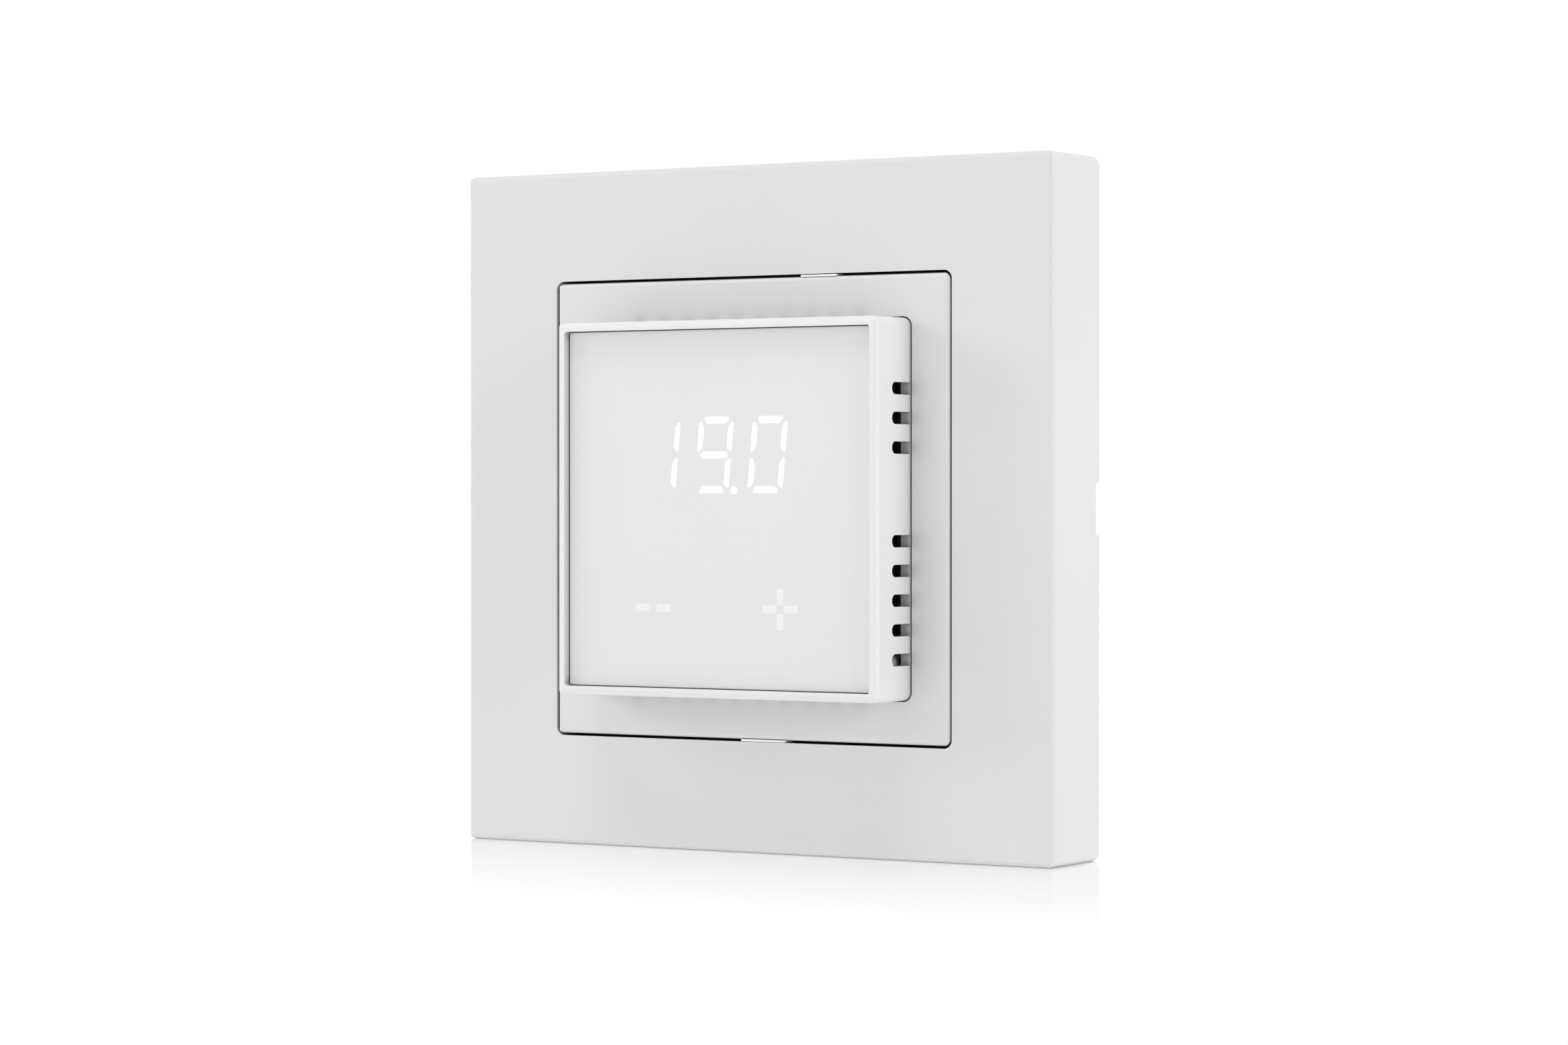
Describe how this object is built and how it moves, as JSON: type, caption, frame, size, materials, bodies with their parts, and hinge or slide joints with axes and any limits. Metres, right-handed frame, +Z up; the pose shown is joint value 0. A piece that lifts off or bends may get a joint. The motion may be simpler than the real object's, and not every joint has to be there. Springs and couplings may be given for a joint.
{
  "type": "wall thermostat",
  "caption": "Flush-mounted wall thermostat: square frame, centre plate and raised head with a lit figure display and two touch keys, on an in-wall base.",
  "frame": {"origin": "centre of the support ring's back face, on the wall plane", "axes": "+X to the right seen from the room, +Z up, +Y into the wall; the front faces -Y"},
  "size_m": [0.0822, 0.0401, 0.0822],
  "materials": {
    "frame_plastic": "satin white moulded plastic",
    "plate_plastic": "satin white moulded plastic",
    "head_plastic": "smooth white moulded plastic",
    "panel_plastic": "smooth white translucent panel, semi-gloss",
    "diffuser_plastic": "black light-tight plastic",
    "display_light": "translucent light guide, lit white",
    "display_dark": "translucent light guide, dark",
    "key_light": "translucent light guide, dimly lit",
    "led_light": "lamp chip with yellow phosphor",
    "spring_steel": "drawn spring wire",
    "circuit_board": "green solder mask on glass laminate",
    "dark_board": "black solder mask on glass laminate",
    "chip_plastic": "black moulding compound",
    "sensor_bead": "black epoxy bead",
    "connector_plastic": "black connector plastic",
    "inner_plastic": "plain white moulded plastic",
    "screw_steel": "bright zinc plating",
    "zinc_steel": "galvanised sheet with spangle",
    "base_plastic": "dark grey flame-proof plastic, fine spark texture",
    "terminal_brass": "nickel-free machined brass",
    "pin_gold": "gold-flashed square pins",
    "ferrite": "sintered ferrite",
    "winding_tape": "yellow polyester tape over the winding",
    "capacitor_sleeve": "dark blue shrink sleeve",
    "film_capacitor": "yellow moulded case",
    "varistor_coating": "blue dipped coating",
    "ceramic_body": "unglazed ceramic tube",
    "relay_plastic": "black relay plastic",
    "soft_iron": "nickel-plated soft iron",
    "copper_wire": "enamelled copper wire",
    "contact_brass": "contact bronze"
  },
  "bodies": {
    "base": {"support_ring": "zinc_steel", "base_housing": "base_plastic", "base_cover": "base_plastic", "cover_screws": "screw_steel", "terminal_blocks": "terminal_brass", "terminal_screws": "screw_steel", "power_board": "circuit_board", "header_body": "connector_plastic", "header_pins": "pin_gold", "transformer_core": "ferrite", "transformer_winding": "winding_tape", "smoothing_capacitor": "capacitor_sleeve", "suppression_capacitor": "film_capacitor", "surge_varistor": "varistor_coating", "fuse": "ceramic_body", "converter_chip": "chip_plastic", "relay_case": "relay_plastic", "relay_base": "relay_plastic", "relay_yoke": "soft_iron", "relay_bobbin": "relay_plastic", "relay_winding": "copper_wire", "relay_fixed_contact": "contact_brass"},
    "frame": {"outer_frame": "frame_plastic"},
    "front": {"centre_plate": "plate_plastic", "head_housing": "head_plastic", "front_panel": "panel_plastic", "light_block": "diffuser_plastic", "lit_segments": "display_light", "unlit_segments": "display_dark", "key_light_guides": "key_light", "touch_springs": "spring_steel", "display_leds": "led_light", "display_board": "dark_board", "microcontroller": "chip_plastic", "air_sensor": "sensor_bead", "board_socket": "connector_plastic", "head_back_cover": "inner_plastic", "back_cover_screws": "screw_steel"},
    "armature": {"relay_armature": "soft_iron", "relay_contact_spring": "contact_brass"}
  },
  "joints": [
    {"name": "frame_pull", "type": "slide", "parent": "base", "child": "frame", "axis": [0, -1, 0], "range_m": [0, 0.025]},
    {"name": "front_pull", "type": "slide", "parent": "frame", "child": "front", "axis": [0, -1, 0], "range_m": [0, 0.025]},
    {"name": "armature_swing", "type": "hinge", "parent": "base", "child": "armature", "pos_m": [-0.0124, 0.01525, 0.0113], "axis": [0, 0, -1], "range_deg": [0, 2.2], "stiffness_Nm_per_rad": 0.005, "springref_deg": -28.65}
  ]
}
